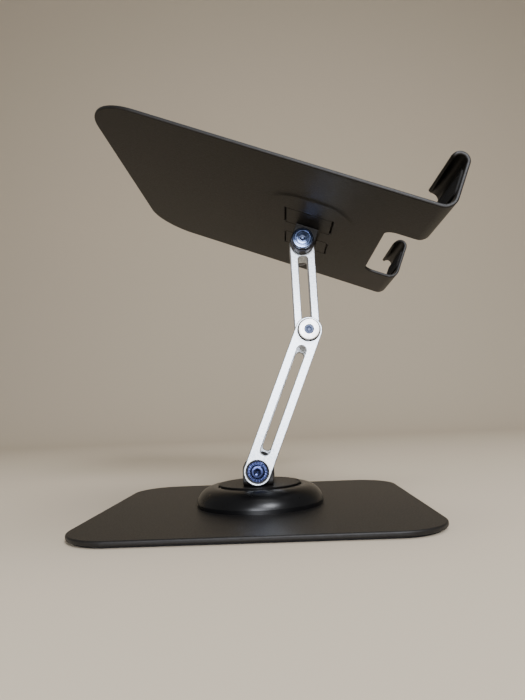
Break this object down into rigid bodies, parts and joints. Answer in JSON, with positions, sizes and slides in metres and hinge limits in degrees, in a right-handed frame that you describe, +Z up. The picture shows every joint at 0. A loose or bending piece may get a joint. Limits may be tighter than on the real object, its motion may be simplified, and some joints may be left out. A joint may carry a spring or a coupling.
{
  "type": "tilting desktop stand",
  "caption": "Desktop stand with a swivel base, hinged aluminium arm links and a tilting sheet-steel tray with hooked front lips for an album, book or tablet.",
  "frame": {"origin": "centre of the base's underside, on the swivel axis", "axes": "+Z up along the swivel axis, +X along the base towards the hooked front edge, Y along the hinge axes"},
  "size_m": [0.2065, 0.18, 0.2215],
  "materials": {
    "black_powder_coat": "fine-textured matt powder coat",
    "black_gloss_plastic": "semi-gloss moulded plastic",
    "black_silicone": "matt silicone",
    "silver_aluminium": "fine-blasted clear-anodised aluminium",
    "zinc_steel": "zinc-plated steel",
    "black_nylon": "matt nylon"
  },
  "bodies": {
    "base": {"base_plate": "black_powder_coat", "foot_pad": "black_silicone", "swivel_ring": "black_gloss_plastic", "thrust_washer": "black_nylon", "swivel_stud": "zinc_steel", "swivel_nut": "zinc_steel", "swivel_spring_washer": "zinc_steel", "ring_screw_1": "zinc_steel", "ring_screw_2": "zinc_steel", "ring_screw_3": "zinc_steel", "ring_screw_4": "zinc_steel"},
    "turntable": {"turntable": "black_powder_coat", "base_bracket": "black_powder_coat", "bracket_screw_left": "zinc_steel", "bracket_screw_right": "zinc_steel", "lower_washer_left": "black_nylon", "lower_washer_right": "black_nylon"},
    "lower_arm": {"lower_link_left": "silver_aluminium", "lower_link_right": "silver_aluminium", "lower_sleeve_left": "zinc_steel", "lower_sleeve_right": "zinc_steel", "lower_screw_left": "zinc_steel", "lower_screw_right": "zinc_steel", "lower_nut_left": "zinc_steel", "lower_nut_right": "zinc_steel", "middle_axle": "zinc_steel", "middle_spacer_left": "silver_aluminium", "middle_spacer_right": "silver_aluminium", "middle_cap_left": "silver_aluminium", "middle_cap_right": "silver_aluminium", "middle_screw_left": "zinc_steel", "middle_screw_right": "zinc_steel"},
    "upper_arm": {"upper_bar": "silver_aluminium", "middle_washer_left": "black_nylon", "middle_washer_right": "black_nylon", "top_friction_washer_left": "black_nylon", "top_friction_washer_right": "black_nylon"},
    "tray": {"tray": "black_powder_coat", "tray_bracket_left": "black_powder_coat", "tray_bracket_right": "black_powder_coat", "top_axle": "zinc_steel", "top_washer_left": "zinc_steel", "top_washer_right": "zinc_steel", "top_spring_left": "zinc_steel", "top_spring_right": "zinc_steel", "top_screw_left": "zinc_steel", "top_screw_right": "zinc_steel", "tray_pad_left": "black_silicone", "tray_pad_right": "black_silicone", "hook_pad_left": "black_silicone", "hook_pad_right": "black_silicone"}
  },
  "joints": [
    {"name": "base_swivel", "type": "hinge", "parent": "base", "child": "turntable", "pos_m": [0, 0, 0], "axis": [0, 0, 1], "continuous": true},
    {"name": "lower_arm_pivot", "type": "hinge", "parent": "turntable", "child": "lower_arm", "pos_m": [0, 0, 0.0247], "axis": [0, -1, 0], "range_deg": [-40, 40]},
    {"name": "middle_pivot", "type": "hinge", "parent": "lower_arm", "child": "upper_arm", "pos_m": [0.03397, 0, 0.10631], "axis": [0, -1, 0], "range_deg": [-50, 30]},
    {"name": "tray_tilt", "type": "hinge", "parent": "upper_arm", "child": "tray", "pos_m": [0.03327, 0, 0.16371], "axis": [0, -1, 0], "range_deg": [-55, 65]}
  ]
}
